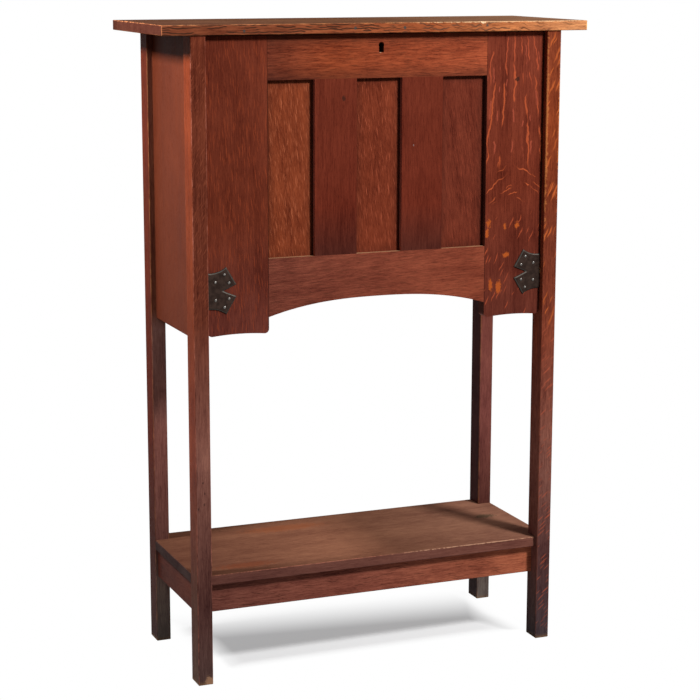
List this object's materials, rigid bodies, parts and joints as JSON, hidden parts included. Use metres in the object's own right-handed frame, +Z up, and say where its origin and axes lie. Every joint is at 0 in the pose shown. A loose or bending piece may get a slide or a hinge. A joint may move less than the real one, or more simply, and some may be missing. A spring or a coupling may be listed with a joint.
{
  "type": "writing desk",
  "caption": "Fall-front writing desk of oak on tall posts, with a panelled drop front on iron pivot hinges, a lock, inner pigeonholes and an open lower shelf.",
  "frame": {"origin": "on the floor, under the middle of the top board", "axes": "+X to the right seen from the front, +Y from the fall front to the back, +Z up"},
  "size_m": [0.826, 0.308, 1.2],
  "materials": {
    "oak_posts": "fumed quarter-sawn oak, waxed",
    "oak_top": "fumed flat-sawn oak, worn",
    "oak_sides": "fumed oak, waxed",
    "oak_fall": "fumed quarter-sawn oak with ray fleck, waxed",
    "oak_panels": "fumed quarter-sawn oak, waxed",
    "oak_shelf": "fumed oak, worn",
    "oak_back": "fumed oak, unpolished",
    "oak_interior": "oak, lightly stained",
    "iron": "hammered, blackened",
    "steel": "bright, dulled",
    "brass": "aged"
  },
  "bodies": {
    "carcase": {"front_post_left": "oak_posts", "front_post_right": "oak_posts", "rear_post_left": "oak_posts", "rear_post_right": "oak_posts", "top_board": "oak_top", "side_panel_left": "oak_sides", "side_panel_right": "oak_sides", "lower_shelf": "oak_shelf", "front_stretcher": "oak_shelf", "rear_stretcher": "oak_shelf", "side_stretcher_left": "oak_shelf", "side_stretcher_right": "oak_shelf", "back_top_rail": "oak_back", "back_bottom_rail": "oak_back", "back_board_1": "oak_back", "back_board_2": "oak_back", "back_board_3": "oak_back", "back_board_4": "oak_back", "back_board_5": "oak_back", "desk_floor": "oak_interior", "fall_stop_left": "oak_interior", "fall_stop_right": "oak_interior", "top_cleat_left": "oak_interior", "top_cleat_right": "oak_interior", "gallery_shelf": "oak_interior", "gallery_middle_shelf": "oak_interior", "gallery_divider_outer_left": "oak_interior", "gallery_divider_outer_right": "oak_interior", "gallery_divider_inner_left": "oak_interior", "gallery_divider_inner_right": "oak_interior", "top_dowels": "oak_interior", "cleat_screws": "steel", "strike_screws": "steel", "pivot_bush_left": "brass", "pivot_bush_right": "brass", "strike_plate": "brass"},
    "fall_front": {"fall_stile_left": "oak_fall", "fall_stile_right": "oak_fall", "fall_top_rail": "oak_fall", "fall_bottom_rail": "oak_fall", "fall_muntin_1": "oak_fall", "fall_muntin_2": "oak_fall", "fall_panel_1": "oak_panels", "fall_panel_2": "oak_panels", "fall_panel_3": "oak_panels", "hinge_plate_left": "iron", "hinge_plate_right": "iron", "hinge_nails_left": "iron", "hinge_nails_right": "iron", "pivot_pin_left": "steel", "pivot_pin_right": "steel", "lock_plate": "brass", "lock_case": "brass", "lock_screws": "steel"},
    "lock_bolt": {"lock_bolt": "brass"}
  },
  "joints": [
    {"name": "fall_hinge", "type": "hinge", "parent": "carcase", "child": "fall_front", "pos_m": [0, -0.1315, 0.731], "axis": [1, 0, 0], "range_deg": [0, 90]},
    {"name": "bolt_slide", "type": "slide", "parent": "fall_front", "child": "lock_bolt", "axis": [0, 0, 1], "range_m": [0, 0.008]}
  ]
}
